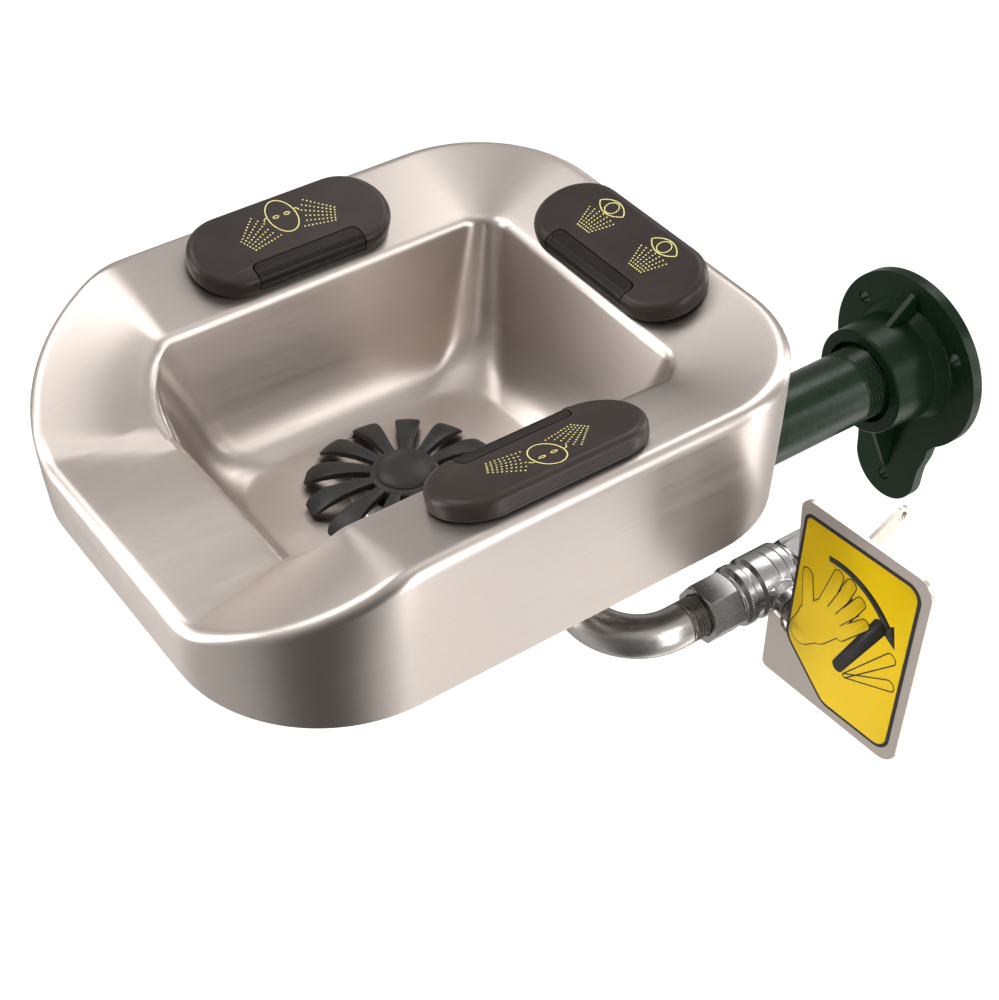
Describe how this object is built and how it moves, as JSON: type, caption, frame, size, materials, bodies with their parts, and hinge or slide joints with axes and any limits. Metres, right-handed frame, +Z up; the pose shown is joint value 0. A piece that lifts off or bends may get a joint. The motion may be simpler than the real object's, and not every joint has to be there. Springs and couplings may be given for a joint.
{
  "type": "eyewash station",
  "caption": "Wall-mounted eye and face wash: steel bowl with spray pods under hinged flaps, a drain, a support arm on a wall flange, and a push paddle that turns the valve.",
  "frame": {"origin": "centre of the wall flange's back face, on the support pipe's axis", "axes": "+X to the user's right, +Y into the wall along the support pipe, +Z up"},
  "size_m": [0.3454, 0.4964, 0.2731],
  "materials": {
    "bowl_steel": "brushed stainless sheet with soft satin highlights",
    "strainer_plastic": "satin dark grey moulded plastic",
    "seal_rubber": "black rubber",
    "green_coat": "dark green semi-gloss powder coat",
    "pipe_steel": "polished stainless pipe",
    "chrome_fitting": "bright nickel-chrome plate",
    "pale_plastic": "off-white moulded plastic",
    "stem_brass": "machined brass",
    "lever_steel": "brushed stainless plate",
    "sign_face": "yellow sign film with black graphics",
    "black_plastic": "satin black moulded plastic",
    "nozzle_plastic": "dark grey moulded plastic",
    "pin_steel": "bright stainless pin",
    "tube_plastic": "grey plastic tubing"
  },
  "bodies": {
    "station": {"bowl_shell": "bowl_steel", "deck_gasket_left": "seal_rubber", "deck_gasket_rear": "seal_rubber", "deck_gasket_right": "seal_rubber", "drain_flange": "bowl_steel", "drain_gasket": "seal_rubber", "drain_strainer": "strainer_plastic", "drain_tee": "green_coat", "feed_coupling_left": "pale_plastic", "feed_coupling_rear": "pale_plastic", "feed_coupling_right": "pale_plastic", "feed_tube_left": "tube_plastic", "feed_tube_rear": "tube_plastic", "feed_tube_right": "tube_plastic", "flap_pin_left": "pin_steel", "flap_pin_rear": "pin_steel", "flap_pin_right": "pin_steel", "flow_control": "pale_plastic", "gland_nut": "chrome_fitting", "inlet_nipple": "pipe_steel", "pod_base_left": "black_plastic", "pod_base_rear": "black_plastic", "pod_base_right": "black_plastic", "pod_cover_left": "black_plastic", "pod_cover_rear": "black_plastic", "pod_cover_right": "black_plastic", "pod_locknut_left": "pale_plastic", "pod_locknut_rear": "pale_plastic", "pod_locknut_right": "pale_plastic", "spray_nozzle_left": "nozzle_plastic", "spray_nozzle_rear": "nozzle_plastic", "spray_nozzle_right": "nozzle_plastic", "strainer_screw": "strainer_plastic", "supply_manifold": "chrome_fitting", "supply_pipe": "pipe_steel", "support_pipe": "green_coat", "valve_body": "chrome_fitting", "valve_end": "chrome_fitting", "valve_seat_front": "pale_plastic", "valve_seat_rear": "pale_plastic", "wall_flange": "green_coat"},
    "lever": {"lever_plate": "lever_steel", "lever_sign": "sign_face", "lever_nut": "chrome_fitting", "valve_stem": "stem_brass", "valve_ball": "chrome_fitting"},
    "flap_left": {"spray_flap_left": "black_plastic"},
    "flap_rear": {"spray_flap_rear": "black_plastic"},
    "flap_right": {"spray_flap_right": "black_plastic"}
  },
  "joints": [
    {"name": "lever_push", "type": "hinge", "parent": "station", "child": "lever", "pos_m": [0.1395, -0.21, 0.0233], "axis": [-1, 0, 0], "range_deg": [0, 90]},
    {"name": "flap_left_open", "type": "hinge", "parent": "station", "child": "flap_left", "pos_m": [-0.07957, -0.3432, 0.15578], "axis": [0, 1, 0], "range_deg": [0, 105]},
    {"name": "flap_rear_open", "type": "hinge", "parent": "station", "child": "flap_rear", "pos_m": [0, -0.24253, 0.1559], "axis": [1, 0, 0], "range_deg": [0, 105]},
    {"name": "flap_right_open", "type": "hinge", "parent": "station", "child": "flap_right", "pos_m": [0.07957, -0.3432, 0.15578], "axis": [0, -1, 0], "range_deg": [0, 105]}
  ]
}
